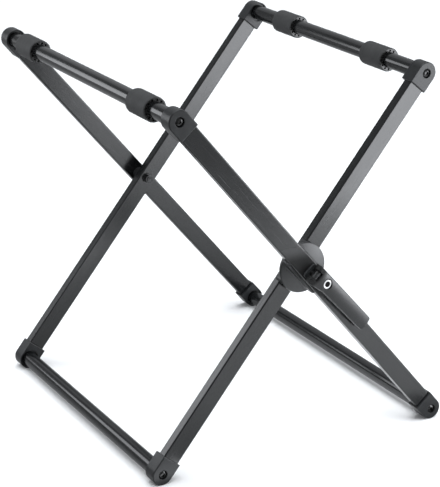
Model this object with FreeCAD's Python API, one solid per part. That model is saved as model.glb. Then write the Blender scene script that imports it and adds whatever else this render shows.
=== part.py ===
# A folding stand for a marching drum: two rectangular frames cross at a pair of pivots.
# The outer frame's top rail is on the -X side and the inner frame's on the +X side, the rails run along Y,
# and the cam lever is on the -Y side. Sizes are in millimetres and angles in degrees.
import FreeCAD, Part
import math
import os
from FreeCAD import Vector

# Stance
leg_lean = 39.8             # lean of every leg from upright
pivot_to_top = 352.0        # pivot axis to top rail axis, along the leg
pivot_to_bottom = 378.0     # pivot axis to bottom rail axis, along the leg
outer_width = 564.0         # across the outer faces of the outer frame's legs
leg_gap = 16.0              # between an outer leg and the inner leg beside it
tread_width = 6.0           # flat under each bottom cap, where the stand rests

# Leg tube and rail tube
leg_width = 30.0
leg_depth = 16.0
leg_wall = 1.5
leg_inner_corner = 0.7
rail_diameter = 25.0
rail_wall = 1.5

# Corner caps
cap_wall = 2.5              # wall round the leg's edges
cap_face = 3.3              # wall over the leg's outer face
cap_back = 5.0              # wall over the leg's inner face, where the rail enters
cap_skirt = 25.0            # rail axis to the open end, along the leg
cap_edge = 1.6              # rounding of the outer face
cap_back_edge = 0.8         # rounding of the inner face
cap_rim = 1.7               # rim left round the recess that the rail enters
cap_recess = 3.5            # depth of that recess
cap_fit = 0.1               # clearance on the leg and on the rail

# Cap screws and the threaded plugs in the rail ends
screw_diameter = 8.0
screw_head_diameter = 14.4
screw_head_height = 3.2
screw_dome_share = 0.9      # part of the head's height that its top falls, from its middle to its rim
screw_socket = 6.0          # across flats
screw_socket_depth = 2.6
screw_reach = 18.0          # how far a screw enters its rail
screw_fit = 0.15
head_room = 0.4             # between a screw head and the hole that it lies in
plug_length = 24.0
plug_fit = 0.05

# Rubber sleeves on the top rails; each place is a sleeve's middle from its rail's nearer end
sleeve_diameter = 38.0
sleeve_length = 57.0
sleeve_edge_share = 0.85    # part of the sleeve's wall outside the flutes that its end rounding takes
sleeve_fit = 0.08           # running clearance on the rail
flute_count = 12
flute_radius = 1.8
flute_depth = 3.8
flute_turn = 23.0           # of the first flute, from the top
outer_sleeve_near_place = 80.0
outer_sleeve_far_place = 69.5
inner_sleeve_near_place = 105.0
inner_sleeve_far_place = 106.0

# Friction clutch between the near legs
plate_diameter = 80.0       # of the outer leg's half
cup_diameter = 75.0         # of the inner leg's half
clutch_edge_share = 0.5     # part of each half's thickness at its rim that its edge rounding takes
plate_thickness = 9.0
plate_dome_share = 0.67     # part of that thickness that the plate's outer side falls towards its rim
clutch_groove = 0.8         # shows between the two halves
friction_thickness = 3.0
friction_rim = 5.0          # cup's rim to the friction disc's edge
friction_bore = 26.0
friction_fit = 0.15
spring_thickness = 1.2
spring_rise = 1.6           # height of the disc spring's cone
spring_width = 3.5          # of the spring's ring
spring_fit = 0.5
key_wall = 3.5              # lips of the clutch halves that grip the leg's edges
key_depth = 9.5
key_length = 74.0
key_corner = 5.0
key_fit = 0.1
face_play = 0.1             # between flat faces that turn on each other

# Bolts through the legs, with their spacers, bushes and nuts
bolt_diameter = 8.0
bolt_fit = 0.05             # running clearance of a bolt
bolt_tip = 1.5              # length that shows past a nut
tube_wall = 3.0             # of the spacers and bushes on the bolts
washer_thickness = 1.6
washer_diameter = 24.0
nut_flats = 13.0
nut_height = 8.0
nut_flange_diameter = 18.0
nut_flange_thickness = 2.0
bolt_head_height = 5.3
pivot_spacer_diameter = 22.0

# Cam lever
pin_diameter = 5.0
pin_height = 13.6           # lever pin's axis above the leg's outer face
pin_fit = 0.04
pin_inset = 1.0
saddle_width = 24.0
saddle_length = 18.0
saddle_thickness = 3.0
saddle_corner = 4.0
cam_throw = 1.84            # travel of the clamp bolt
cam_phase = 40.0            # cam's lead at the closed lever
cam_clearance = 0.3
lever_length = 140.0        # pin's axis to the end of the handle
lever_fall = 7.7            # how much nearer to the leg the handle's back is at its end
lever_end_depth = 8.8
lever_heel = 20.0           # pin's axis to the place where the handle's underside leaves the cam
lever_lift = 1.5            # handle's underside above the saddle at that place
lever_neck_width = 26.0
lever_end_width = 23.9
lever_flare = 4.3           # how far the head's lower cheek stands out past the handle's side
lever_head_length = 8.0     # pin's axis to the start of the neck
lever_neck_length = 30.0    # pin's axis to the end of the neck
lever_corner = 2.5
lever_crown = 6.0           # rise of the arched back, across the neck and a flare on each side
lever_wall = 2.5
lever_skin = 2.5
mouth_depth = 3.2           # pin's axis to the edge of the handle's back
lever_overhang = 2.0        # handle's middle from the bolt's, towards the leg's upper edge
lever_turn = 2.6            # the handle's turn about the bolt, off the leg's line
eye_width = 11.0
eye_play = 0.5              # between the bolt's eye and the handle's back
mouth_play = 1.2            # between the bolt's eye and the head's cheeks
lever_disc_diameter = 16.0
lever_disc_thickness = 0.8
lever_disc_place = 24.0     # pin's axis to the disc's middle
lever_disc_recess = 0.05    # disc's face below the handle's back, at the disc's sides
lever_disc_fit = 0.1

# Places that follow from the sizes
outer_face = outer_width / 2
outer_inside = outer_face - leg_depth
inner_face = outer_inside - leg_gap
inner_inside = inner_face - leg_depth
leg_corner = leg_inner_corner + leg_wall
rail_radius = rail_diameter / 2
sleeve_bore = rail_radius + sleeve_fit
sleeve_edge = sleeve_edge_share * (sleeve_diameter / 2 - sleeve_bore - flute_depth)
cap_radius = leg_width / 2 + cap_wall
head_hole_radius = screw_head_diameter / 2 + head_room
tread_rise = math.sqrt(cap_radius ** 2 - (tread_width / 2) ** 2)
pivot_height = pivot_to_bottom * math.cos(math.radians(leg_lean)) + tread_rise
cam_reach = pin_height - saddle_thickness - cam_clearance
cam_radius = cam_reach - cam_throw / 2
cam_drop = cam_throw / 2 * math.tan(math.radians(cam_phase))
lever_rise = cam_radius - cam_throw / 2
lever_slope = math.degrees(math.atan2(lever_fall, lever_length))
pin_place = outer_face + pin_height
lever_back = pin_place + lever_rise
eye_radius = lever_rise - lever_skin - eye_play
near_reach = lever_back - mouth_depth * lever_fall / lever_length
far_reach = outer_face + washer_thickness + bolt_head_height
middle_shift = (near_reach - far_reach) / 2
plate_face = outer_inside - plate_thickness
plate_dome = plate_dome_share * plate_thickness
plate_rim = plate_thickness - plate_dome
cup_face = plate_face - clutch_groove
lining_face = plate_face - face_play
bolt_hole = bolt_diameter / 2 + bolt_fit
thread_hole = bolt_diameter / 2 + screw_fit
tube_radius = bolt_hole + tube_wall
screw_hole = screw_diameter / 2 + screw_fit
lever_head_width = lever_neck_width + lever_flare
lever_head_middle = lever_overhang - lever_flare / 2
arch_width = lever_neck_width + 2 * lever_flare
arch_radius = ((arch_width / 2) ** 2 + lever_crown ** 2) / (2 * lever_crown)
disc_fall = arch_radius - math.sqrt(arch_radius ** 2 - (lever_disc_diameter / 2) ** 2)
lever_disc_sink = disc_fall + lever_disc_recess

NEAR = -1
FAR = 1
TOP = 1
BOTTOM = -1
ACROSS = Vector(1, 0, 0)
ALONG_RAIL = Vector(0, 1, 0)
CENTRE = Vector(0, 0, 0)


def rod(radius, y_from, y_to, z=0.0):
    """A round bar along Y."""
    return Part.makeCylinder(radius, abs(y_to - y_from), Vector(0, min(y_from, y_to), z), ALONG_RAIL)


def block(x_from, x_to, y_from, y_to, z_from, z_to):
    """A box between two corners, given in any order."""
    low = Vector(min(x_from, x_to), min(y_from, y_to), min(z_from, z_to))
    size = (abs(x_to - x_from), abs(y_to - y_from), abs(z_to - z_from))
    return Part.makeBox(*size, low)


def slab(wire, y_from, y_to):
    """A flat outline in the XZ plane, made solid between two places along Y."""
    face = Part.Face(wire)
    face.translate(Vector(0, y_from, 0))
    return face.extrude(Vector(0, y_to - y_from, 0))


def line(x_from, z_from, x_to, z_to):
    return Part.makeLine(Vector(x_from, 0, z_from), Vector(x_to, 0, z_to))


def arc(x_from, z_from, x_mid, z_mid, x_to, z_to):
    points = (Vector(x_from, 0, z_from), Vector(x_mid, 0, z_mid), Vector(x_to, 0, z_to))
    return Part.Arc(*points).toShape()


def round_ended(radius, z_axis, end, length):
    """Outline with a round end about z_axis, and straight sides of the given length back from it."""
    z_open = z_axis - end * length
    round_edge = arc(-radius, z_axis, 0, z_axis + end * radius, radius, z_axis)
    sides = (line(radius, z_axis, radius, z_open), line(radius, z_open, -radius, z_open))
    return Part.Wire([round_edge, *sides, line(-radius, z_open, -radius, z_axis)])


def rounded_plate(width, height, corner, y_from, y_to):
    """A plate in the XZ plane with rounded corners."""
    plate = block(-width / 2, width / 2, y_from, y_to, -height / 2, height / 2)
    corners = [e for e in plate.Edges if abs(e.tangentAt(e.FirstParameter).y) > 0.5]
    return plate.makeFillet(corner, corners)


def leg_bar(width, depth, corner, y_middle, z_from, z_to):
    """A rectangular bar along Z with rounded long edges."""
    bar = block(-width / 2, width / 2, y_middle - depth / 2, y_middle + depth / 2, z_from, z_to)
    long_edges = [e for e in bar.Edges if abs(e.tangentAt(e.FirstParameter).z) > 0.5]
    return bar.makeFillet(corner, long_edges)


def hexagon(flats, y_from, y_to, z=0.0):
    """A six-sided bar along Y."""
    corner = flats / math.sqrt(3)
    points = []
    for step in range(7):
        turn = math.radians(60 * step)
        points.append(Vector(corner * math.cos(turn), 0, z + corner * math.sin(turn)))
    return slab(Part.makePolygon(points), y_from, y_to)


def edges_at(shape, y):
    """Edges that lie wholly at one place along Y."""
    return [e for e in shape.Edges if abs(e.BoundBox.YMin - y) < 1e-4 and abs(e.BoundBox.YMax - y) < 1e-4]


def ring(outer_radius, inner_radius, y_from, y_to, z=0.0):
    return rod(outer_radius, y_from, y_to, z).cut(rod(inner_radius, y_from, y_to, z))


def domed_disc(radius, y_seat, y_crown, drop, z=0.0):
    """A disc along Y whose crown side falls by the given amount from its middle to its rim."""
    outward = math.copysign(1, y_crown - y_seat)
    ball_radius = (radius ** 2 + drop ** 2) / (2 * drop)
    half_fall = ball_radius - math.sqrt(ball_radius ** 2 - (radius / 2) ** 2)
    rim = Vector(radius, y_crown - outward * drop, z)
    halfway = Vector(radius / 2, y_crown - outward * half_fall, z)
    crown = Vector(0, y_crown, z)
    seat = (Vector(0, y_seat, z), Vector(radius, y_seat, z))
    edges = Part.makePolygon([crown, *seat, rim]).Edges
    outline = Part.Wire([*edges, Part.Arc(rim, halfway, crown).toShape()])
    return Part.Face(outline).revolve(Vector(0, 0, z), ALONG_RAIL, 360)


def leg(side, face, pivot_hole_radius):
    """A leg tube with round-cut ends, and holes for the screws and the pivot."""
    middle = side * (face - leg_depth / 2)
    z_low = -pivot_to_bottom - leg_width / 2
    z_high = pivot_to_top + leg_width / 2
    tube = leg_bar(leg_width, leg_depth, leg_corner, middle, z_low, z_high)
    inner_size = (leg_width - 2 * leg_wall, leg_depth - 2 * leg_wall)
    hollow = leg_bar(*inner_size, leg_inner_corner, middle, z_low, z_high)
    length = pivot_to_top + pivot_to_bottom
    y_limits = (middle - leg_depth, middle + leg_depth)
    upper = slab(round_ended(leg_width / 2, pivot_to_top, TOP, length / 2), *y_limits)
    lower = slab(round_ended(leg_width / 2, -pivot_to_bottom, BOTTOM, length / 2), *y_limits)
    tube = tube.cut(hollow).common(upper.fuse(lower).removeSplitter())
    for z_rail in (pivot_to_top, -pivot_to_bottom):
        tube = tube.cut(rod(screw_hole, side * face, side * (face - leg_depth), z_rail))
    return tube.cut(rod(pivot_hole_radius, side * face, side * (face - leg_depth)))


def cap(side, face, end):
    """A corner cap: round about the rail's axis, open towards the pivot, with the leg's end inside."""
    z_rail = pivot_to_top if end == TOP else -pivot_to_bottom
    y_outer = side * (face + cap_face)
    y_inner = side * (face - leg_depth - cap_back)
    middle = side * (face - leg_depth / 2)
    body = slab(round_ended(cap_radius, z_rail, end, cap_skirt), y_outer, y_inner)
    body = body.makeFillet(cap_edge, edges_at(body, y_outer))
    body = body.makeFillet(cap_back_edge, edges_at(body, y_inner))
    width = leg_width + 2 * cap_fit
    depth = leg_depth + 2 * cap_fit
    z_ends = sorted((z_rail - end * 2 * cap_skirt, z_rail + end * width))
    hollow = leg_bar(width, depth, leg_corner, middle, *z_ends)
    leg_end = slab(round_ended(width / 2, z_rail, end, 2 * cap_skirt), middle - depth, middle + depth)
    body = body.cut(hollow.common(leg_end))
    body = body.cut(rod(head_hole_radius, y_outer, middle, z_rail))
    body = body.cut(rod(rail_radius + cap_fit, middle, y_inner, z_rail))
    return body.cut(rod(cap_radius - cap_rim, y_inner, y_inner + side * cap_recess, z_rail))


def rail(face, z_rail):
    """A rail tube between the inner faces of a frame's legs."""
    end = face - leg_depth
    return ring(rail_radius, rail_radius - rail_wall, -end, end, z_rail)


def cap_screw(side, face, z_rail):
    """A socket screw: its domed head lies in the cap's hole, on the leg, and its shank enters the rail."""
    seat = side * face
    top = seat + side * screw_head_height
    fall = screw_dome_share * screw_head_height
    head = domed_disc(screw_head_diameter / 2, seat, top, fall, z_rail)
    head = head.cut(hexagon(screw_socket, top - side * screw_socket_depth, top, z_rail))
    shank = rod(screw_diameter / 2, seat, side * (face - leg_depth - screw_reach), z_rail)
    return head.fuse(shank).removeSplitter()


def leg_spacer(side, face, z_rail):
    """A tube round a cap screw, that keeps the screw from crushing the leg."""
    walls = (side * (face - leg_wall), side * (face - leg_depth + leg_wall))
    return ring(tube_radius, screw_hole, *walls, z_rail)


def rail_plug(side, face, z_rail):
    """A threaded plug, flush with the rail's end."""
    end = side * (face - leg_depth)
    radius = rail_radius - rail_wall - plug_fit
    return ring(radius, screw_hole, end, end - side * plug_length, z_rail)


def sleeve(y_middle):
    """A rubber sleeve round a top rail, with flutes along its bore."""
    y_from = y_middle - sleeve_length / 2
    y_to = y_middle + sleeve_length / 2
    body = rod(sleeve_diameter / 2, y_from, y_to, pivot_to_top)
    body = body.makeFillet(sleeve_edge, edges_at(body, y_from) + edges_at(body, y_to))
    body = body.cut(rod(sleeve_bore, y_from, y_to, pivot_to_top))
    flute_middle = sleeve_bore + flute_depth - flute_radius
    for step in range(flute_count):
        flute = rod(flute_radius, y_from, y_to, pivot_to_top + flute_middle)
        flute.rotate(Vector(0, 0, pivot_to_top), ALONG_RAIL, flute_turn + 360 * step / flute_count)
        body = body.cut(flute)
    return body


def clutch_half(disc, leg_face, key_root, outward):
    """A clutch disc against a near leg's face, with two lips that grip the leg's edges."""
    key_width = leg_width + 2 * key_fit + 2 * key_wall
    key_top = leg_face + outward * key_depth
    key = rounded_plate(key_width, key_length, key_corner, -key_root, -key_top)
    width = leg_width + 2 * key_fit
    leg_middle = leg_face + outward * leg_depth / 2
    leg_room = leg_bar(width, leg_depth, leg_corner, -leg_middle, -key_length, key_length)
    return disc.fuse(key).removeSplitter().cut(leg_room)


def clutch_plate():
    """The outer leg's half of the clutch: its outer side is domed."""
    disc = domed_disc(plate_diameter / 2, -plate_face, -outer_inside, plate_dome)
    disc = disc.makeFillet(clutch_edge_share * plate_rim, edges_at(disc, plate_dome - outer_inside))
    body = clutch_half(disc, outer_inside, plate_face + plate_rim / 2, 1)
    return body.cut(rod(bolt_hole, -outer_inside, -plate_face))


def clutch_cup():
    """The inner leg's half, with a seat for the friction disc and a pocket for the spring."""
    disc = rod(cup_diameter / 2, -inner_face, -cup_face)
    disc = disc.makeFillet(clutch_edge_share * (cup_face - inner_face), edges_at(disc, -inner_face))
    body = clutch_half(disc, inner_face, (inner_face + cup_face) / 2, -1)
    seat_floor = lining_face - friction_thickness
    body = body.cut(rod(cup_diameter / 2 - friction_rim + friction_fit, -cup_face, -seat_floor))
    pocket_floor = plate_face - spring_thickness - spring_rise - face_play
    pocket_radius = tube_radius + spring_width + 2 * spring_fit
    body = body.cut(rod(pocket_radius, -cup_face, -pocket_floor))
    return body.cut(rod(bolt_hole + spring_fit, -cup_face, -inner_face))


def friction_disc():
    """The lining between the clutch halves."""
    radius = cup_diameter / 2 - friction_rim
    return ring(radius, friction_bore / 2, -lining_face, -lining_face + friction_thickness)


def release_spring():
    """A disc spring that parts the clutch halves: a coned ring from the plate to the cup's pocket."""
    inner = tube_radius + spring_fit
    outer = inner + spring_width
    y_plate = -plate_face
    points = [
        Vector(inner, y_plate, 0),
        Vector(inner, y_plate + spring_thickness, 0),
        Vector(outer, y_plate + spring_thickness + spring_rise, 0),
        Vector(outer, y_plate + spring_rise, 0),
        Vector(inner, y_plate, 0),
    ]
    return Part.Face(Part.makePolygon(points)).revolve(CENTRE, ALONG_RAIL, 360)


def cross_rod(radius, length, x_middle):
    """A round bar along X, on the lever pin's axis."""
    return Part.makeCylinder(radius, length, Vector(x_middle - length / 2, -pin_place, 0), ACROSS)


def clamp_bolt():
    """The bolt through the near legs, with an eye for the lever's pin at its outer end."""
    tail = inner_inside - face_play - washer_thickness - nut_height - bolt_tip
    bolt = cross_rod(eye_radius, eye_width, 0).fuse(rod(bolt_diameter / 2, -pin_place, -tail))
    return bolt.removeSplitter().cut(cross_rod(pin_diameter / 2 + pin_fit, 2 * eye_width, 0))


def lever_pin():
    """The pin that joins the lever's cheeks to the bolt's eye."""
    return cross_rod(pin_diameter / 2, lever_head_width - 2 * pin_inset, lever_head_middle)


def cam_saddle():
    """The plate on the leg that the lever's cam presses on."""
    top = -outer_face - saddle_thickness
    plate = rounded_plate(saddle_width, saddle_length, saddle_corner, -outer_face, top)
    return plate.cut(rod(bolt_hole, -outer_face, top))


def lever_side():
    """The lever's side view, made solid across its width: handle, cam and round nose."""
    back_end = -lever_back + lever_fall
    points = [
        Vector(0, -lever_back, 0),
        Vector(0, back_end, -lever_length),
        Vector(0, back_end + lever_end_depth, -lever_length),
        Vector(0, -outer_face - saddle_thickness - lever_lift, -lever_heel),
        Vector(0, -pin_place + cam_reach, -cam_drop),
        Vector(0, -lever_back, 0),
    ]
    handle = Part.Face(Part.makePolygon(points)).extrude(Vector(lever_head_width, 0, 0))
    handle.translate(Vector(lever_head_middle - lever_head_width / 2, 0, 0))
    nose = cross_rod(lever_rise, lever_head_width, lever_head_middle)
    cam = cross_rod(cam_radius, lever_head_width, lever_head_middle)
    cam.translate(Vector(0, cam_throw / 2, -cam_drop))
    return handle.fuse([cam, nose]).removeSplitter()


def along_back(shape):
    """Tilt what was made straight so that it follows the handle's back."""
    shape.rotate(Vector(0, -lever_back, 0), ACROSS, lever_slope)
    return shape


def arched_bar(width, sink, crown, length):
    """A bar along the handle with an arched back, from above the nose to the given length below the pin."""
    left = lever_overhang - width / 2
    right = lever_overhang + width / 2
    top = -lever_back + sink
    shoulder = top + crown
    below = -outer_face + lever_length
    z_nose = 2 * lever_rise
    left_shoulder = Vector(left, shoulder, z_nose)
    right_shoulder = Vector(right, shoulder, z_nose)
    arch = Part.Arc(left_shoulder, Vector(lever_overhang, top, z_nose), right_shoulder).toShape()
    foot = (Vector(right, below, z_nose), Vector(left, below, z_nose))
    sides = Part.makePolygon([right_shoulder, *foot, left_shoulder]).Edges
    face = Part.Face(Part.Wire([arch, *sides]))
    return along_back(face.extrude(Vector(0, 0, -length - z_nose)))


def lever_outline():
    """The lever seen from outside: a head with a flared cheek, a neck, and a handle with rounded corners."""
    neck = lever_neck_width / 2
    end = lever_end_width / 2
    flare = neck + lever_flare
    upper_side = [(neck, 2 * lever_rise), (neck, -lever_neck_length), (end, -lever_length)]
    lower_side = [(-end, -lever_length), (-neck, -lever_neck_length), (-flare, -lever_head_length)]
    nose_corner = (-flare, 2 * lever_rise)
    corners = [Vector(lever_overhang + x, 0, z) for x, z in upper_side + lower_side + [nose_corner]]
    bar = slab(Part.makePolygon(corners + corners[:1]), -lever_back - lever_rise, -outer_face + lever_length)
    depth_edges = [e for e in bar.Edges if abs(e.tangentAt(e.FirstParameter).y) > 0.5]
    end_edges = [e for e in depth_edges if e.CenterOfMass.z < -lever_length + lever_corner]
    return bar.makeFillet(lever_corner, end_edges)


def cam_lever():
    """The handle: arched outside, hollow underneath, open at the nose round the bolt's eye."""
    body = lever_side().common(arched_bar(arch_width, 0, lever_crown, 2 * lever_length))
    body = body.common(lever_outline())
    inner_width = lever_end_width - 2 * lever_wall
    inner_crown = lever_crown * (inner_width / arch_width) ** 2
    hollow = arched_bar(inner_width, lever_skin, inner_crown, lever_length - lever_wall)
    mouth = eye_width / 2 + mouth_play
    depth = (-lever_back - lever_rise, -outer_face)
    eye_slot = block(-mouth, mouth, *depth, -lever_head_length, 2 * lever_rise)
    handle = block(-lever_head_width, lever_head_width, *depth, -lever_head_length, -lever_length)
    body = body.cut(hollow.common(eye_slot)).cut(hollow.common(handle))
    body = body.cut(block(-mouth, mouth, *depth, -mouth_depth, 2 * lever_rise))
    body = body.cut(cross_rod(pin_diameter / 2 + bolt_fit, 2 * lever_head_width, lever_head_middle))
    return body.cut(disc_at(lever_disc_diameter / 2 + lever_disc_fit, -lever_crown))


def disc_at(radius, sink):
    """A round disc on the middle of the handle, from the given depth under its crown to the disc's seat."""
    seat = -lever_back + lever_disc_sink + lever_disc_thickness
    disc = rod(radius, -lever_back + sink, seat, -lever_disc_place)
    disc.translate(Vector(lever_overhang, 0, 0))
    return along_back(disc)


def lever_disc():
    """A blank round disc set in the handle."""
    return disc_at(lever_disc_diameter / 2, lever_disc_sink)


def turned_hexagon(y_seat, y_top):
    """A nut's or bolt head's six sides, with the corners turned off at the top."""
    length = abs(y_top - y_seat)
    corner = nut_flats / math.sqrt(3)
    outward = ALONG_RAIL * (1 if y_top > y_seat else -1)
    tip = (nut_flats / 2 + corner) / 2
    cone = Part.makeCone(corner + length, tip, length, Vector(0, y_seat, 0), outward)
    return hexagon(nut_flats, y_seat, y_top).common(cone)


def flange_nut(y_seat, y_top):
    """A nut with a round flange at its seat."""
    rim = y_seat + math.copysign(nut_flange_thickness, y_top - y_seat)
    body = turned_hexagon(y_seat, y_top).fuse(rod(nut_flange_diameter / 2, y_seat, rim)).removeSplitter()
    return body.cut(rod(thread_hole, y_seat, y_top))


def clamp_washer():
    seat = -inner_inside + face_play
    return ring(washer_diameter / 2, thread_hole, seat, seat + washer_thickness)


def clamp_nut():
    seat = -inner_inside + face_play + washer_thickness
    return flange_nut(seat, seat + nut_height)


def pivot_bolt():
    """The far pivot's bolt: its head outside, its thread inside."""
    seat = outer_face + washer_thickness
    tip = inner_inside - face_play - nut_height - bolt_tip
    return turned_hexagon(seat, far_reach).fuse(rod(bolt_diameter / 2, seat, tip)).removeSplitter()


def pivot_washer():
    return ring(washer_diameter / 2, thread_hole, outer_face, outer_face + washer_thickness)


def pivot_nut():
    seat = inner_inside - face_play
    return flange_nut(seat, seat - nut_height)


def four_of(make, face):
    """One piece at each end of a frame's two rails."""
    rails = (pivot_to_top, -pivot_to_bottom)
    return Part.makeCompound([make(side, face, z_rail) for side in (NEAR, FAR) for z_rail in rails])


def frame_pieces(name, face, pivot_hole):
    """The legs, rails, caps, screws and plugs of one frame, upright."""
    pieces = {
        name + "_leg_near": leg(NEAR, face, pivot_hole),
        name + "_leg_far": leg(FAR, face, pivot_hole),
        name + "_top_rail": rail(face, pivot_to_top),
        name + "_bottom_rail": rail(face, -pivot_to_bottom),
        name + "_cap_screws": four_of(cap_screw, face),
        name + "_leg_spacers": four_of(leg_spacer, face),
        name + "_rail_plugs": four_of(rail_plug, face),
    }
    for level, end in (("top", TOP), ("bottom", BOTTOM)):
        for place, side in (("near", NEAR), ("far", FAR)):
            pieces[name + "_" + level + "_cap_" + place] = cap(side, face, end)
    return pieces


def outer_pieces():
    """The outer frame, with what is fixed to it, upright."""
    walls = (outer_face - leg_wall, outer_inside + leg_wall)
    pieces = frame_pieces("outer", outer_face, bolt_hole)
    pieces["outer_sleeve_near"] = sleeve(outer_sleeve_near_place - outer_inside)
    pieces["outer_sleeve_far"] = sleeve(outer_inside - outer_sleeve_far_place)
    pieces["clutch_plate"] = clutch_plate()
    pieces["release_spring"] = release_spring()
    pieces["cam_saddle"] = cam_saddle()
    pieces["outer_near_spacer"] = ring(tube_radius, bolt_hole, -walls[0], -walls[1])
    pieces["outer_far_spacer"] = ring(tube_radius, bolt_hole, *walls)
    pieces["pivot_spacer"] = ring(pivot_spacer_diameter / 2, bolt_hole, outer_inside, inner_face + face_play)
    pieces["pivot_bolt"] = pivot_bolt()
    pieces["pivot_washer"] = pivot_washer()
    pieces["pivot_nut"] = pivot_nut()
    return pieces


def inner_pieces():
    """The inner frame, with what is fixed to it, upright."""
    pieces = frame_pieces("inner", inner_face, tube_radius + plug_fit)
    pieces["inner_sleeve_near"] = sleeve(inner_sleeve_near_place - inner_inside)
    pieces["inner_sleeve_far"] = sleeve(inner_inside - inner_sleeve_far_place)
    pieces["clutch_cup"] = clutch_cup()
    pieces["friction_disc"] = friction_disc()
    pieces["inner_near_bush"] = ring(tube_radius, bolt_hole, -inner_face, -inner_inside)
    pieces["inner_far_bush"] = ring(tube_radius, bolt_hole, inner_face, inner_inside)
    return pieces


def clamp_pieces():
    """The clamp bolt and the lever, with the handle straight down."""
    return {
        "clamp_bolt": clamp_bolt(),
        "clamp_nut": clamp_nut(),
        "clamp_washer": clamp_washer(),
        "lever_pin": lever_pin(),
        "cam_lever": cam_lever(),
        "lever_disc": lever_disc(),
    }


def stood_up(shape, lean):
    """Lean an upright piece about the pivot axis and set the stand on the floor, centred on the origin."""
    placed = shape.copy()
    placed.rotate(CENTRE, ALONG_RAIL, lean)
    placed.translate(Vector(0, middle_shift, pivot_height))
    return placed


def trodden(shape):
    """Cut the flat tread where a bottom cap meets the floor."""
    bounds = shape.BoundBox
    below = block(bounds.XMin, bounds.XMax, bounds.YMin, bounds.YMax, -cap_radius, 0)
    return shape.cut(below)


def main():
    os.makedirs("parts", exist_ok=True)
    groups = (
        (outer_pieces(), -leg_lean),
        (inner_pieces(), leg_lean),
        (clamp_pieces(), -leg_lean - lever_turn),
    )
    for pieces, lean in groups:
        for name, shape in pieces.items():
            placed = stood_up(shape, lean)
            if "_bottom_cap_" in name:
                placed = trodden(placed)
            placed.exportStep("parts/" + name + ".step")
            print(name, len(placed.Solids), round(placed.Volume, 1), placed.isValid())


main()
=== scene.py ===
import math

import bpy
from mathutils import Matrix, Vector


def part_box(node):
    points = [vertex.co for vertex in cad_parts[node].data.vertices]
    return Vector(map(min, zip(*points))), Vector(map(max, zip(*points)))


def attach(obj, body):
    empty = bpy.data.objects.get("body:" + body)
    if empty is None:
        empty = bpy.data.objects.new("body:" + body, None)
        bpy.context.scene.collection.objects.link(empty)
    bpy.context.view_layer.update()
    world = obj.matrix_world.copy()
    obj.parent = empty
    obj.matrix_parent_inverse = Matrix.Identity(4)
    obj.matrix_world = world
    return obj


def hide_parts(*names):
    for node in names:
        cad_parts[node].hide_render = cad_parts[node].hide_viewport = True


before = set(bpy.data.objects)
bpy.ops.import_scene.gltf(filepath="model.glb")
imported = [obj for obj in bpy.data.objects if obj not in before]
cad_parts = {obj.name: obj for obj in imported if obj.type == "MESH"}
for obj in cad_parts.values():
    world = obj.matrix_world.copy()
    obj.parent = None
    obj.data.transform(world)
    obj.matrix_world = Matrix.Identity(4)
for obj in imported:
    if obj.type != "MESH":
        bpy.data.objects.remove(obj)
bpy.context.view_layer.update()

# How far the legs and the lever lean from upright, and how the lever's back falls towards the leg
leg_lean = math.radians(39.8)
lever_turn = math.radians(2.6)
lever_lean = leg_lean + lever_turn
lever_length = 0.140
lever_fall = 0.0077
lever_slope = math.atan2(lever_fall, lever_length)


# Wiring of shader nodes

def feed(tree, socket, value):
    """Sets a socket to a value, or links it to another socket."""
    if isinstance(value, bpy.types.NodeSocket):
        tree.links.new(value, socket)
    else:
        socket.default_value = value


def add(tree, kind, inputs, **settings):
    """A shader node with its settings, and its inputs fed by name or number."""
    made = tree.nodes.new("ShaderNode" + kind)
    for name, value in settings.items():
        setattr(made, name, value)
    for name, value in inputs.items():
        feed(tree, made.inputs[name], value)
    return made


def calculate(tree, operation, a, b=0.0):
    """One step of arithmetic."""
    return add(tree, "Math", {0: a, 1: b}, operation=operation).outputs[0]


def times(tree, a, b):
    """A product of two values."""
    return calculate(tree, "MULTIPLY", a, b)


def raised(tree, value, where, by):
    """A value that is higher by some amount where a mask is."""
    return calculate(tree, "ADD", value, times(tree, where, by))


def remap(tree, value, low, high, to_low, to_high):
    """A value moved from one range to another, and held inside it."""
    inputs = {"Value": value, "From Min": low, "From Max": high, "To Min": to_low, "To Max": to_high}
    return add(tree, "MapRange", inputs).outputs[0]


def mask(tree, value, none, full):
    """A mask: 0 where the value has reached none, and 1 where it has reached full."""
    return remap(tree, value, none, full, 0.0, 1.0)


def value_between(tree, share, first, second):
    """A value between two others."""
    return add(tree, "Mix", {0: share, 2: first, 3: second}, data_type="FLOAT").outputs[0]


def shade_between(tree, share, first, second):
    """A colour between two others."""
    return add(tree, "Mix", {0: share, 6: first, 7: second}, data_type="RGBA").outputs[2]


def tinted(tree, colour, where, share, tint):
    """A colour that takes on a share of a tint where a mask is."""
    return shade_between(tree, times(tree, where, share), colour, tint)


def grey(value, warm=0.0):
    """A near-neutral colour; warm tips it towards red, and a negative value towards blue."""
    return (value * (1 + warm), value, value * (1 - warm), 1)


def product_along(tree, first, second):
    """The dot product of two directions, or a place's distance along a direction."""
    return add(tree, "VectorMath", {0: first, 1: second}, operation="DOT_PRODUCT").outputs["Value"]


def distance_from(tree, place, point):
    """The distance of a place from a point."""
    return add(tree, "VectorMath", {0: place, 1: point}, operation="DISTANCE").outputs["Value"]


def part_of(tree, vector, axis):
    """A vector's X, Y or Z."""
    return add(tree, "SeparateXYZ", {0: vector}).outputs[axis]


def mapped(tree, place, **changes):
    """Coordinates that are scaled or turned."""
    return add(tree, "Mapping", {"Vector": place, **changes}).outputs[0]


def noise(tree, place, scale, detail, rough=0.5):
    """Cloudy noise, with about so many clouds per metre."""
    inputs = {"Vector": place, "Scale": scale, "Detail": detail, "Roughness": rough}
    return add(tree, "TexNoise", inputs).outputs[0]


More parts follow.
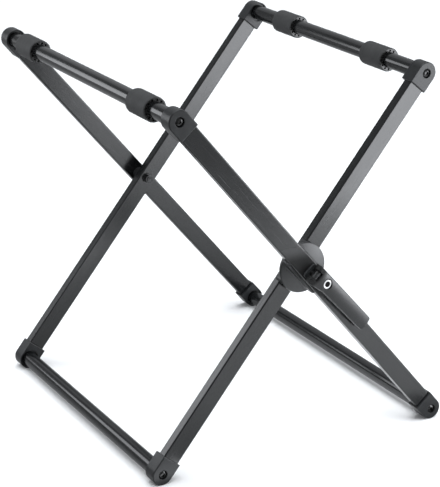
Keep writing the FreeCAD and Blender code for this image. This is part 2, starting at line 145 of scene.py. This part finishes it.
def drawn_noise(tree, place, scales, detail, rough=0.5):
    """Noise with its own number of clouds per metre along each axis."""
    return noise(tree, mapped(tree, place, Scale=scales), 1.0, detail, rough)


def bumped(tree, height, depth, strength, under=None):
    """A normal for a relief of some depth, on top of another normal where one is given."""
    inputs = {"Height": height, "Distance": depth, "Strength": strength}
    if under is not None:
        inputs["Normal"] = under
    return add(tree, "Bump", inputs).outputs[0]


# Effects shared by several finishes

def new_effect(name, inputs, outputs):
    """An empty node group: inputs are (name, kind, value), outputs are names of values."""
    tree = bpy.data.node_groups.new(name, "ShaderNodeTree")
    for label, kind, value in inputs:
        socket = tree.interface.new_socket(name=label, in_out="INPUT", socket_type="NodeSocket" + kind)
        socket.default_value = value
    for label in outputs:
        tree.interface.new_socket(name=label, in_out="OUTPUT", socket_type="NodeSocketFloat")
    entry = tree.nodes.new("NodeGroupInput")
    leave = tree.nodes.new("NodeGroupOutput")
    return tree, entry.outputs, leave.inputs


place_input = ("Place", "Vector", (0, 0, 0))


def make_fine_grain():
    """Spark-eroded mould grain or orange peel: a height, and a slow drift of tone."""
    inputs = [place_input, ("Grains per metre", "Float", 1500.0)]
    tree, given, out = new_effect("fine grain", inputs, ["Height", "Tone"])
    place = given["Place"]
    grains = given["Grains per metre"]
    pit_depth = 0.5
    drifts_per_grain = 0.03
    grit = noise(tree, place, grains, detail=3.0, rough=0.55)
    pit_inputs = {"Vector": place, "Scale": grains, "Smoothness": 0.6}
    pits = add(tree, "TexVoronoi", pit_inputs, feature="SMOOTH_F1").outputs[0]
    feed(tree, out["Height"], raised(tree, grit, pits, pit_depth))
    drift = noise(tree, place, times(tree, grains, drifts_per_grain), detail=4.0, rough=0.6)
    feed(tree, out["Tone"], mask(tree, drift, none=0.3, full=0.7))
    return tree


def make_specks():
    """Small lighter specks of pigment."""
    inputs = [place_input, ("Specks per metre", "Float", 2500.0)]
    tree, given, out = new_effect("pigment specks", inputs, ["Specks"])
    speck_edge = 0.32
    speck_core = 0.1
    dots = add(tree, "TexVoronoi", {"Vector": given["Place"], "Scale": given["Specks per metre"]})
    feed(tree, out["Specks"], mask(tree, dots.outputs[0], none=speck_edge, full=speck_core))
    return tree


def make_edge_wear_and_highlight():
    """Where hands and drums rub the edges, and where an edge highlight is painted: a broken line along every
    sharp edge.
    """
    inputs = [place_input, ("Width", "Float", 0.0008)]
    tree, given, out = new_effect("edge wear and highlight", inputs, ["Rub"])
    flat_likeness = 0.995
    edge_likeness = 0.86
    patches_per_metre = 130.0
    faintest = 0.25
    rounded = add(tree, "Bevel", {"Radius": given["Width"]}, samples=6).outputs[0]
    flat = add(tree, "NewGeometry", {}).outputs["Normal"]
    likeness = product_along(tree, rounded, flat)
    edge = mask(tree, likeness, none=flat_likeness, full=edge_likeness)
    patches = noise(tree, given["Place"], patches_per_metre, detail=4.0, rough=0.65)
    broken = remap(tree, patches, low=0.35, high=0.62, to_low=faintest, to_high=1.0)
    feed(tree, out["Rub"], times(tree, edge, broken))
    return tree


def make_handling():
    """Signs of use on a tube along the place's Z: fine lengthwise scratches and soft smudges."""
    tree, given, out = new_effect("handling marks", [place_input], ["Scratches", "Smudges"])
    scratches_per_metre = (1500.0, 1500.0, 14.0)
    smudges_per_metre = (30.0, 30.0, 9.0)
    lines = drawn_noise(tree, given["Place"], scratches_per_metre, detail=2.0)
    feed(tree, out["Scratches"], mask(tree, lines, none=0.62, full=0.74))
    smears = drawn_noise(tree, given["Place"], smudges_per_metre, detail=5.0, rough=0.6)
    feed(tree, out["Smudges"], mask(tree, smears, none=0.4, full=0.7))
    return tree


fine_grain = make_fine_grain()
pigment_specks = make_specks()
edge_wear_and_highlight = make_edge_wear_and_highlight()
handling_marks = make_handling()


def use(tree, effect, **inputs):
    """Places a shared effect in a finish; names have _ for spaces."""
    made = tree.nodes.new("ShaderNodeGroup")
    made.node_tree = effect
    for name, value in inputs.items():
        feed(tree, made.inputs[name.replace("_", " ")], value)
    return made.outputs


# Painted shade: a dark, dull patch painted on the leg and on the lever's nose round the lever's mouth, for
# the lever head's shadow and reflection

painted_shade_black = grey(0.001)
painted_shade_roughness = 0.9
painted_shade_density = 0.9
leg_painted_shade_ends = 0.048       # height from the lever's pin at which the leg is free of the painted shade again
leg_painted_shade_full = 0.024       # height up to which the painted shade on the leg is full
lever_painted_shade_ends = 0.013     # the same two for the nose, along the lever
lever_painted_shade_full = 0.004
painted_shade_face = 0.0002          # depth behind the leg's near face down to which the painted shade is full
painted_shade_edge = 0.001           # depth at which the leg's side is free of the painted shade


def clamp_painted_shade(tree, place, along, ends, full):
    """A mask of the painted shade, by the distance from the lever's pin in one direction."""
    low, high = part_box("lever_pin")
    pin = Vector(along).dot((low + high) / 2)
    away = calculate(tree, "SUBTRACT", product_along(tree, place, along), pin)
    away = calculate(tree, "ABSOLUTE", away)
    return remap(tree, away, ends, full, 0.0, painted_shade_density)


def leg_painted_shade(tree, place):
    """The painted shade on the near face of the leg that the lever clamps."""
    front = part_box("outer_leg_near")[0].y
    face = mask(tree, part_of(tree, place, "Y"), front + painted_shade_edge, front + painted_shade_face)
    return times(tree, face, clamp_painted_shade(tree, place, (0, 0, 1), leg_painted_shade_ends, leg_painted_shade_full))


def lever_painted_shade(tree, place):
    """The painted shade on the lever's nose."""
    along = (math.sin(lever_lean), 0, -math.cos(lever_lean))
    return clamp_painted_shade(tree, place, along, lever_painted_shade_ends, lever_painted_shade_full)


def under_painted_shade(tree, painted_shade, colour, rough):
    """A colour and a roughness under the painted shade, which is darker and duller."""
    dull = value_between(tree, painted_shade, rough, painted_shade_roughness)
    return shade_between(tree, painted_shade, colour, painted_shade_black), dull


# Finishes

def new_finish(name, **constants):
    """A material with one Principled shader; constants are set on the shader's own sockets."""
    material = bpy.data.materials.new(name)
    material.use_nodes = True
    tree = material.node_tree
    tree.nodes.clear()
    shader = tree.nodes.new("ShaderNodeBsdfPrincipled")
    for label, value in constants.items():
        shader.inputs[label.replace("_", " ")].default_value = value
    surface = tree.nodes.new("ShaderNodeOutputMaterial")
    tree.links.new(shader.outputs[0], surface.inputs["Surface"])
    place = tree.nodes.new("ShaderNodeTexCoord").outputs["Object"]
    return material, tree, shader.inputs, place


paint_black = grey(0.006, -0.06)
paint_soft_black = grey(0.009, -0.06)
paint_scratch = grey(0.08)


def leg_paint(name, lean, painted_shade=None):
    """Satin black powder coat on leaning legs, turned upright for its marks; painted shade may lie on it."""
    material, tree, shader, place = new_finish(name)
    paint_speck = grey(0.04)
    paint_edge_and_highlight = grey(0.12)
    straight = mapped(tree, place, Rotation=(0, lean, 0))
    peel, tone = use(tree, fine_grain, Place=straight, Grains_per_metre=900.0)
    specks = use(tree, pigment_specks, Place=straight, Specks_per_metre=1900.0)[0]
    rub_and_highlight = use(tree, edge_wear_and_highlight, Place=straight, Width=0.0007)[0]
    scratches, smudges = use(tree, handling_marks, Place=straight)
    paint = shade_between(tree, tone, paint_black, paint_soft_black)
    paint = tinted(tree, paint, specks, share=0.25, tint=paint_speck)
    paint = tinted(tree, paint, scratches, share=0.10, tint=paint_scratch)
    # lighter edges: partly rubbed wear, partly a painted highlight
    paint = tinted(tree, paint, rub_and_highlight, share=0.45, tint=paint_edge_and_highlight)
    rough = value_between(tree, smudges, first=0.19, second=0.24)
    rough = raised(tree, rough, scratches, by=0.08)
    rough = raised(tree, rough, rub_and_highlight, by=0.08)
    if painted_shade:
        # painted shade round the lever's mouth: darker, duller paint for the lever head's shadow and
        # reflection
        paint, rough = under_painted_shade(tree, painted_shade(tree, place), paint, rough)
    feed(tree, shader["Base Color"], paint)
    feed(tree, shader["Roughness"], rough)
    relief = bumped(tree, peel, depth=0.00008, strength=0.3)
    feed(tree, shader["Normal"], bumped(tree, scratches, depth=-0.00004, strength=0.5, under=relief))
    return material


def rail_paint():
    """Gloss black on the round rails, turned upright for the faint drawing lines along the tube."""
    material, tree, shader, place = new_finish("rail gloss paint")
    straight = mapped(tree, place, Rotation=(math.radians(90), 0, 0))
    peel, tone = use(tree, fine_grain, Place=straight, Grains_per_metre=700.0)
    scratches, smudges = use(tree, handling_marks, Place=straight)
    paint = shade_between(tree, tone, paint_black, paint_soft_black)
    feed(tree, shader["Base Color"], tinted(tree, paint, scratches, share=0.2, tint=paint_scratch))
    rough = value_between(tree, smudges, first=0.14, second=0.19)
    feed(tree, shader["Roughness"], raised(tree, rough, scratches, by=0.1))
    relief = bumped(tree, peel, depth=0.00004, strength=0.25)
    feed(tree, shader["Normal"], bumped(tree, scratches, depth=-0.00003, strength=0.5, under=relief))
    return material


def moulded_plastic(name, dark, light, rough, grains, depth, rub_and_highlight_share=0.25,
                    speck_share=0.0, edge=0.0006, gloss=0.5, painted_shade=None):
    """A moulded black or grey plastic with eroded grain, a slow tone drift and soft edges, lighter partly
    from rubbing and partly from a painted highlight.
    """
    material, tree, shader, place = new_finish(name, Specular_IOR_Level=gloss)
    cool = -0.05
    speck = grey(3 * light)
    rubbed_and_highlight = grey(4 * light)
    smoothest = rough - 0.04
    roughest = rough + 0.05
    height, tone = use(tree, fine_grain, Place=place, Grains_per_metre=grains)
    rub_and_highlight = use(tree, edge_wear_and_highlight, Place=place, Width=0.0009)[0]
    colour = shade_between(tree, tone, grey(dark, cool), grey(light, cool))
    if speck_share:
        specks = use(tree, pigment_specks, Place=place, Specks_per_metre=grains)[0]
        colour = tinted(tree, colour, specks, speck_share, speck)
    # lighter edges: partly rubbed wear, partly a painted highlight
    colour = tinted(tree, colour, rub_and_highlight, rub_and_highlight_share, rubbed_and_highlight)
    worn = value_between(tree, tone, smoothest, roughest)
    worn = raised(tree, worn, rub_and_highlight, by=-0.1)
    if painted_shade:
        # painted shade round the lever's mouth: darker, duller plastic on the nose
        colour, worn = under_painted_shade(tree, painted_shade(tree, place), colour, worn)
    feed(tree, shader["Base Color"], colour)
    feed(tree, shader["Roughness"], worn)
    soft_edges = add(tree, "Bevel", {"Radius": edge}, samples=8).outputs[0]
    feed(tree, shader["Normal"], bumped(tree, height, depth, strength=0.6, under=soft_edges))
    return material


def sleeve_rubber():
    """Matte black rubber with a pale bloom, ground round the sleeve and cut smooth at its ends."""
    material, tree, shader, place = new_finish("sleeve rubber", Specular_IOR_Level=0.45)
    rubber_black = grey(0.024, -0.03)
    rubber_bloom = grey(0.031, -0.03)
    rubber_dust = grey(0.06)
    rubber_edge_and_highlight = grey(0.10)
    cut_black = grey(0.010)
    cut_roughness = 0.26
    grinding_per_metre = (40.0, 1400.0, 40.0)
    height, tone = use(tree, fine_grain, Place=place, Grains_per_metre=1300.0)
    rub_and_highlight = use(tree, edge_wear_and_highlight, Place=place, Width=0.0008)[0]
    grinding = drawn_noise(tree, place, grinding_per_metre, detail=3.0)
    bloom = mask(tree, noise(tree, place, scale=60.0, detail=6.0, rough=0.65), none=0.35, full=0.75)
    colour = shade_between(tree, bloom, rubber_black, rubber_bloom)
    colour = tinted(tree, colour, tone, share=0.25, tint=rubber_dust)
    # lighter edges: partly rubbed wear, partly a painted highlight
    colour = tinted(tree, colour, rub_and_highlight, share=0.3, tint=rubber_edge_and_highlight)
    facing = part_of(tree, add(tree, "NewGeometry", {}).outputs["Normal"], "Y")
    cut_end = mask(tree, calculate(tree, "ABSOLUTE", facing), none=0.85, full=0.97)
    feed(tree, shader["Base Color"], shade_between(tree, cut_end, colour, cut_black))
    ground = remap(tree, grinding, low=0.3, high=0.7, to_low=0.62, to_high=0.74)
    feed(tree, shader["Roughness"], value_between(tree, cut_end, ground, cut_roughness))
    relief = bumped(tree, height, depth=0.0002, strength=0.5)
    feed(tree, shader["Normal"], bumped(tree, grinding, depth=0.0001, strength=0.35, under=relief))
    return material


def steel(name, dark, light, rough, metal):
    """Plated or blackened steel: blotchy plating, fine turning lines and bright edges, partly rubbed and
    partly a painted highlight.
    """
    material, tree, shader, place = new_finish(name, Metallic=metal)
    bright_edge_and_highlight = grey(min(0.8, 4 * light))
    smoothest = rough - 0.06
    roughest = rough + 0.08
    plating = noise(tree, place, scale=260.0, detail=5.0, rough=0.6)
    turning = {"Vector": place, "Scale": 420.0, "Distortion": 1.5, "Detail": 2.0}
    lines = add(tree, "TexWave", turning, bands_direction="Y").outputs["Fac"]
    rub_and_highlight = use(tree, edge_wear_and_highlight, Place=place, Width=0.0005)[0]
    blotches = mask(tree, plating, none=0.35, full=0.65)
    colour = shade_between(tree, blotches, grey(dark), grey(light, warm=-0.02))
    # bright edges: partly rubbed wear, partly a painted highlight
    feed(tree, shader["Base Color"], tinted(tree, colour, rub_and_highlight, share=0.5, tint=bright_edge_and_highlight))
    worn = remap(tree, plating, low=0.3, high=0.7, to_low=smoothest, to_high=roughest)
    feed(tree, shader["Roughness"], worn)
    feed(tree, shader["Normal"], bumped(tree, lines, depth=0.00003, strength=0.3))
    return material


def screw_oxide(side):
    """Black oxide of one frame's cap screws, with painted shade in the bottom of their sockets."""
    material, tree, shader, place = new_finish(side + " cap screw oxide")
    oxide_black = grey(0.004)
    oxide_blotch = grey(0.009)
    oxide_edge_and_highlight = grey(0.05)
    socket_shade_black = grey(0.003)
    socket_shade_starts = 0.0022
    socket_shade_full = 0.0025
    low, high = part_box(side + "_cap_screws")
    across = part_of(tree, place, "Y")
    near_depth = calculate(tree, "SUBTRACT", across, low.y)
    far_depth = calculate(tree, "SUBTRACT", high.y, across)
    depth = calculate(tree, "MINIMUM", near_depth, far_depth)
    socket_shade = mask(tree, depth, socket_shade_starts, socket_shade_full)
    blotches = noise(tree, place, scale=420.0, detail=4.0)
    oxide = shade_between(tree, mask(tree, blotches, none=0.35, full=0.65), oxide_black, oxide_blotch)
    rub_and_highlight = use(tree, edge_wear_and_highlight, Place=place, Width=0.0004)[0]
    # lighter edges: partly rubbed wear, partly a painted highlight
    oxide = tinted(tree, oxide, rub_and_highlight, share=0.15, tint=oxide_edge_and_highlight)
    # painted shade: the bottoms of the sockets are painted near black and made rough
    feed(tree, shader["Base Color"], shade_between(tree, socket_shade, oxide, socket_shade_black))
    polish = remap(tree, blotches, low=0.3, high=0.7, to_low=0.16, to_high=0.24)
    feed(tree, shader["Roughness"], raised(tree, polish, socket_shade, by=0.6))
    feed(tree, shader["Normal"], bumped(tree, blotches, depth=0.00004, strength=0.3))
    return material


def friction_lining():
    """Pressed fibre lining with short bright strands."""
    material, tree, shader, place = new_finish("friction lining")
    fibre_brown = (0.055, 0.042, 0.032, 1)
    strand_brass = (0.30, 0.22, 0.10, 1)
    strands_per_metre = (900.0, 900.0, 140.0)
    strands = drawn_noise(tree, place, strands_per_metre, detail=4.0)
    brass = mask(tree, strands, none=0.6, full=0.72)
    feed(tree, shader["Base Color"], shade_between(tree, brass, fibre_brown, strand_brass))
    feed(tree, shader["Roughness"], value_between(tree, brass, first=0.92, second=0.6))
    feed(tree, shader["Normal"], bumped(tree, strands, depth=0.0002, strength=0.5))
    return material


def nylon():
    """Natural nylon of the bushes."""
    material, tree, shader, place = new_finish("bush nylon", Subsurface_Weight=0.1)
    nylon_dark = (0.50, 0.47, 0.40, 1)
    nylon_light = (0.62, 0.60, 0.53, 1)
    height, tone = use(tree, fine_grain, Place=place, Grains_per_metre=1100.0)
    feed(tree, shader["Base Color"], shade_between(tree, tone, nylon_dark, nylon_light))
    feed(tree, shader["Roughness"], value_between(tree, tone, first=0.42, second=0.55))
    feed(tree, shader["Normal"], bumped(tree, height, depth=0.0001, strength=0.3))
    return material


outer_leg_satin = leg_paint("outer leg satin paint", leg_lean)
inner_leg_satin = leg_paint("inner leg satin paint", -leg_lean)
# the near outer leg carries the painted shade round the lever's mouth
clamped_leg_satin = leg_paint("clamped leg satin paint", leg_lean, leg_painted_shade)
rail_gloss = rail_paint()
cap_plastic = moulded_plastic(
    "corner cap plastic", dark=0.016, light=0.021, rough=0.33, grains=1700.0, depth=0.00014,
    rub_and_highlight_share=0.06, gloss=0.29)
clutch_plastic = moulded_plastic(
    "clutch plastic", dark=0.011, light=0.018, rough=0.32, grains=1100.0, depth=0.00020, speck_share=0.40)
# the lever's nose carries painted shade round its mouth
lever_plastic = moulded_plastic(
    "lever plastic", dark=0.006, light=0.009, rough=0.23, grains=1500.0, depth=0.00005,
    edge=0.0024, gloss=0.36, painted_shade=lever_painted_shade)
saddle_plastic = moulded_plastic(
    "saddle plastic", dark=0.034, light=0.05, rough=0.35, grains=1500.0, depth=0.00005)
rubber = sleeve_rubber()
black_steel = steel("blackened steel", dark=0.022, light=0.04, rough=0.28, metal=0.8)
worn_steel = steel("worn black steel", dark=0.045, light=0.075, rough=0.30, metal=0.8)
zinc_steel = steel("zinc plated steel", dark=0.42, light=0.56, rough=0.34, metal=1.0)
outer_screws = screw_oxide("outer")
inner_screws = screw_oxide("inner")
lining = friction_lining()
bush_nylon = nylon()

# A piece wears the first finish whose words are in its name, and blackened steel if there is none
finishes = [
    ("leg_spacers", zinc_steel),
    ("outer_leg_near", clamped_leg_satin),
    ("outer_leg", outer_leg_satin),
    ("inner_leg", inner_leg_satin),
    ("_rail_plugs", zinc_steel),
    ("_rail", rail_gloss),
    ("outer_cap_screws", outer_screws),
    ("inner_cap_screws", inner_screws),
    ("_cap_", cap_plastic),
    ("_sleeve_", rubber),
    ("_bush", bush_nylon),
    ("clutch_", clutch_plastic),
    ("pivot_spacer", clutch_plastic),
    ("_spacer", zinc_steel),
    ("friction_disc", lining),
    ("release_spring", zinc_steel),
    ("cam_saddle", saddle_plastic),
    ("cam_lever", lever_plastic),
    ("clamp_bolt", worn_steel),
    ("lever_pin", worn_steel),
    ("lever_disc", zinc_steel),
]


def finish_of(node):
    """The finish that a piece of the stand wears, from its name."""
    for words, finish in finishes:
        if words in node:
            return finish
    return black_steel


for name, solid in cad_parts.items():
    for slot in solid.material_slots:
        slot.material = finish_of(name)


# The blank badge on the lever

badge_radius = 0.0079
badge_thickness = 0.0008
bezel_outside = 0.0069
bezel_inside = 0.0048
bezel_height = 0.00025
bezel_flank = 0.0002
crown_width = 0.0028
crown_height = 0.0001
rim_rounding = 0.0001


def badge_metal(centre):
    """Satin spun metal of the blank badge's bezel, with dark enamel inside and outside it."""
    material, tree, shader, place = new_finish("blank badge metal", Metallic=1.0)
    metal_dark = grey(0.55)
    metal_light = grey(0.70)
    metal_haze = grey(0.48)
    metal_edge_and_highlight = grey(0.75)
    enamel_black = grey(0.006)
    own = add(tree, "Mapping", {"Vector": place, "Location": centre}, vector_type="TEXTURE").outputs[0]
    spinning = {"Vector": own, "Scale": 700.0, "Distortion": 0.6, "Detail": 2.0}
    rings = add(tree, "TexWave", spinning, wave_type="RINGS", rings_direction="Y").outputs["Fac"]
    haze = noise(tree, own, scale=300.0, detail=4.0)
    rub_and_highlight = use(tree, edge_wear_and_highlight, Place=place, Width=0.0004)[0]
    metal = shade_between(tree, rings, metal_dark, metal_light)
    metal = tinted(tree, metal, mask(tree, haze, none=0.3, full=0.7), share=0.5, tint=metal_haze)
    # lighter edges: partly rubbed wear, partly a painted highlight
    metal = tinted(tree, metal, rub_and_highlight, share=0.5, tint=metal_edge_and_highlight)
    reach = distance_from(tree, place, centre)
    outside = mask(tree, reach, bezel_outside, bezel_outside + bezel_flank)
    inside = mask(tree, reach, bezel_inside, bezel_inside - bezel_flank)
    enamel = calculate(tree, "MAXIMUM", inside, outside)
    feed(tree, shader["Base Color"], shade_between(tree, enamel, metal, enamel_black))
    feed(tree, shader["Roughness"], remap(tree, haze, low=0.3, high=0.7, to_low=0.30, to_high=0.42))
    feed(tree, shader["Normal"], bumped(tree, rings, depth=0.00003, strength=0.4))
    return material


def blank_badge():
    """A thin flanged disc with a raised bezel round a bare, slightly crowned face, in the lever's seat."""
    low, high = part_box("lever_disc")
    middle = (low + high) / 2
    upward = 0.9
    bpy.ops.object.select_all(action="DESELECT")
    bpy.ops.mesh.primitive_cylinder_add(
        vertices=72, radius=badge_radius, depth=badge_thickness - bezel_height, location=(0, 0, 0))
    badge = bpy.context.active_object
    badge.name = "blank_badge"
    bpy.ops.object.mode_set(mode="EDIT")
    bpy.ops.transform.translate(value=(0, 0, -bezel_height / 2))
    bpy.ops.mesh.select_mode(type="FACE")
    bpy.ops.mesh.select_all(action="DESELECT")
    bpy.ops.object.mode_set(mode="OBJECT")
    for face in badge.data.polygons:
        face.select = face.normal.z > upward
    bpy.ops.object.mode_set(mode="EDIT")
    bpy.ops.mesh.inset(thickness=badge_radius - bezel_outside)
    bpy.ops.mesh.inset(thickness=bezel_flank)
    bpy.ops.transform.translate(value=(0, 0, bezel_height))
    bpy.ops.mesh.inset(thickness=bezel_outside - bezel_inside - 2 * bezel_flank)
    bpy.ops.mesh.inset(thickness=bezel_flank)
    bpy.ops.transform.translate(value=(0, 0, -bezel_height))
    bpy.ops.mesh.inset(thickness=crown_width)
    bpy.ops.transform.translate(value=(0, 0, crown_height))
    bpy.ops.object.mode_set(mode="OBJECT")
    bevel = badge.modifiers.new("rim rounding", "BEVEL")
    bevel.width = rim_rounding
    bevel.segments = 3
    bevel.limit_method = "ANGLE"
    bpy.ops.object.modifier_apply(modifier=bevel.name)
    outward = Vector((math.sin(lever_slope) * math.sin(lever_lean), -math.cos(lever_slope),
                      -math.sin(lever_slope) * math.cos(lever_lean)))
    badge.rotation_mode = "QUATERNION"
    badge.rotation_quaternion = outward.to_track_quat("Z", "Y")
    badge.location = middle
    bpy.ops.object.transform_apply(location=True, rotation=True, scale=True)
    bpy.ops.object.shade_smooth_by_angle(angle=math.radians(35))
    badge.data.materials.append(badge_metal(middle))
    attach(badge, "cam_lever")
    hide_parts("lever_disc")


blank_badge()


# Floor, lights and camera

floor_size = 60
paper_dark = grey(0.90)
paper_light = grey(0.92)
black = grey(0.0)
pool_middle = (0.2, -0.7, 0.0)          # the painted pool of light on the floor, seen in reflections
pool_radius = 0.6
pool_fades = 1.2
pool_dimming = 0.62
left_starts = -0.02                     # the painted dark corner at the front left, by X and by Y
left_full = -0.45
front_starts = 0.6
front_full = 0.2
left_dimming = 0.94
foot_middle = (0.262, -0.312, 0.0)      # the painted dark spot at the right foot
foot_radius = 0.035
foot_fades = 0.055
foot_dimming = 0.8
cool_light = (0.97, 0.99, 1.03)


def pale_floor():
    """A pale paper floor; in reflections only, its colour is painted dark outside a painted pool of light,
    at the front left and at a foot.
    """
    bpy.ops.object.select_all(action="DESELECT")
    bpy.ops.mesh.primitive_plane_add(size=floor_size, location=(0, 0, 0))
    floor = bpy.context.active_object
    floor.name = "studio_floor"
    material, tree, shader, place = new_finish("studio floor", Roughness=0.9, Specular_IOR_Level=0.1)
    clouds = noise(tree, place, scale=3.0, detail=2.0)
    paper = shade_between(tree, clouds, paper_dark, paper_light)
    mirrored = tree.nodes.new("ShaderNodeLightPath").outputs["Is Glossy Ray"]
    from_pool = distance_from(tree, place, pool_middle)
    outside = remap(tree, from_pool, pool_radius, pool_fades, 0.0, pool_dimming)
    left = remap(tree, part_of(tree, place, "X"), left_starts, left_full, 0.0, left_dimming)
    front = mask(tree, part_of(tree, place, "Y"), front_starts, front_full)
    from_foot = distance_from(tree, place, foot_middle)
    foot = remap(tree, from_foot, foot_fades, foot_radius, 0.0, foot_dimming)
    dark = calculate(tree, "MAXIMUM", outside, times(tree, left, front))
    dark = calculate(tree, "MAXIMUM", dark, foot)
    # painted light and shade: in reflections the floor is painted dark outside the pool, at the front left
    # and at the foot
    feed(tree, shader["Base Color"], shade_between(tree, times(tree, mirrored, dark), paper, black))
    floor.data.materials.append(material)


def softbox(name, place, aim, width, height, brightness):
    """A rectangular soft light; brightness is the radiance of its face."""
    lamp = bpy.data.lights.new(name, "AREA")
    lamp.shape = "RECTANGLE"
    lamp.size = width
    lamp.size_y = height
    lamp.color = cool_light
    lamp.energy = brightness * width * height * math.pi
    box = bpy.data.objects.new(name, lamp)
    bpy.context.scene.collection.objects.link(box)
    box.location = place
    box.rotation_mode = "QUATERNION"
    box.rotation_quaternion = (Vector(aim) - Vector(place)).to_track_quat("-Z", "Y")
    box.visible_camera = False


def studio_sky(around, overhead):
    """Dim walls all round and an even bright ceiling, from about 53 degrees up."""
    world = bpy.data.worlds.new("studio sky")
    bpy.context.scene.world = world
    world.use_nodes = True
    tree = world.node_tree
    tree.nodes.clear()
    cool = -0.03
    ceiling_starts = 0.80
    ceiling_full = 0.95
    up = part_of(tree, tree.nodes.new("ShaderNodeTexCoord").outputs["Generated"], "Z")
    ceiling = mask(tree, up, ceiling_starts, ceiling_full)
    colour = shade_between(tree, ceiling, grey(around, cool), grey(overhead, cool))
    light = add(tree, "Background", {"Color": colour, "Strength": 1.0})
    leave = tree.nodes.new("ShaderNodeOutputWorld")
    tree.links.new(light.outputs[0], leave.inputs["Surface"])


def photo_camera():
    """The photograph's viewpoint; the image is 440 x 487."""
    azimuth = math.radians(-30.84)
    elevation = math.radians(21.01)
    distance = 2.669
    aim = Vector((0.00664, 0.00329, 0.26135))
    back = Vector((math.sin(azimuth) * math.cos(elevation), -math.cos(azimuth) * math.cos(elevation),
                   math.sin(elevation)))
    data = bpy.data.cameras.new("photo camera")
    data.lens = 119.25
    data.sensor_width = 36.0
    camera = bpy.data.objects.new("photo camera", data)
    bpy.context.scene.collection.objects.link(camera)
    camera.location = aim + back * distance
    camera.rotation_mode = "QUATERNION"
    camera.rotation_quaternion = (-back).to_track_quat("-Z", "Y")
    bpy.context.scene.camera = camera


pale_floor()
studio_sky(around=0.3, overhead=4.2)
softbox("front right softbox", place=(1.004, -0.849, 0.42), aim=(0.494, 0.011, 0.42),
        width=1.0, height=0.80, brightness=6.6)
softbox("back left softbox", place=(-1.12, 1.05, 0.80), aim=(0, 0, 0.4),
        width=0.85, height=0.70, brightness=3.3)
softbox("back right panel", place=(0.85, 2.0, 1.9), aim=(0.85, 0, 1.9),
        width=2.2, height=1.9, brightness=0.3)
softbox("right edge softbox", place=(1.8, 0.4, 0.6), aim=(0, 0, 0.4),
        width=0.5, height=1.2, brightness=3.0)
softbox("low bounce", place=(0.045, -0.255, 0.005), aim=(0.045, -0.255, 1.0),
        width=0.15, height=0.08, brightness=8.0)
softbox("foot bounce", place=(-0.22, -0.278, 0.003), aim=(-0.22, -0.278, 1.0),
        width=0.07, height=0.04, brightness=2.2)
photo_camera()
bpy.context.scene.view_settings.view_transform = "Standard"
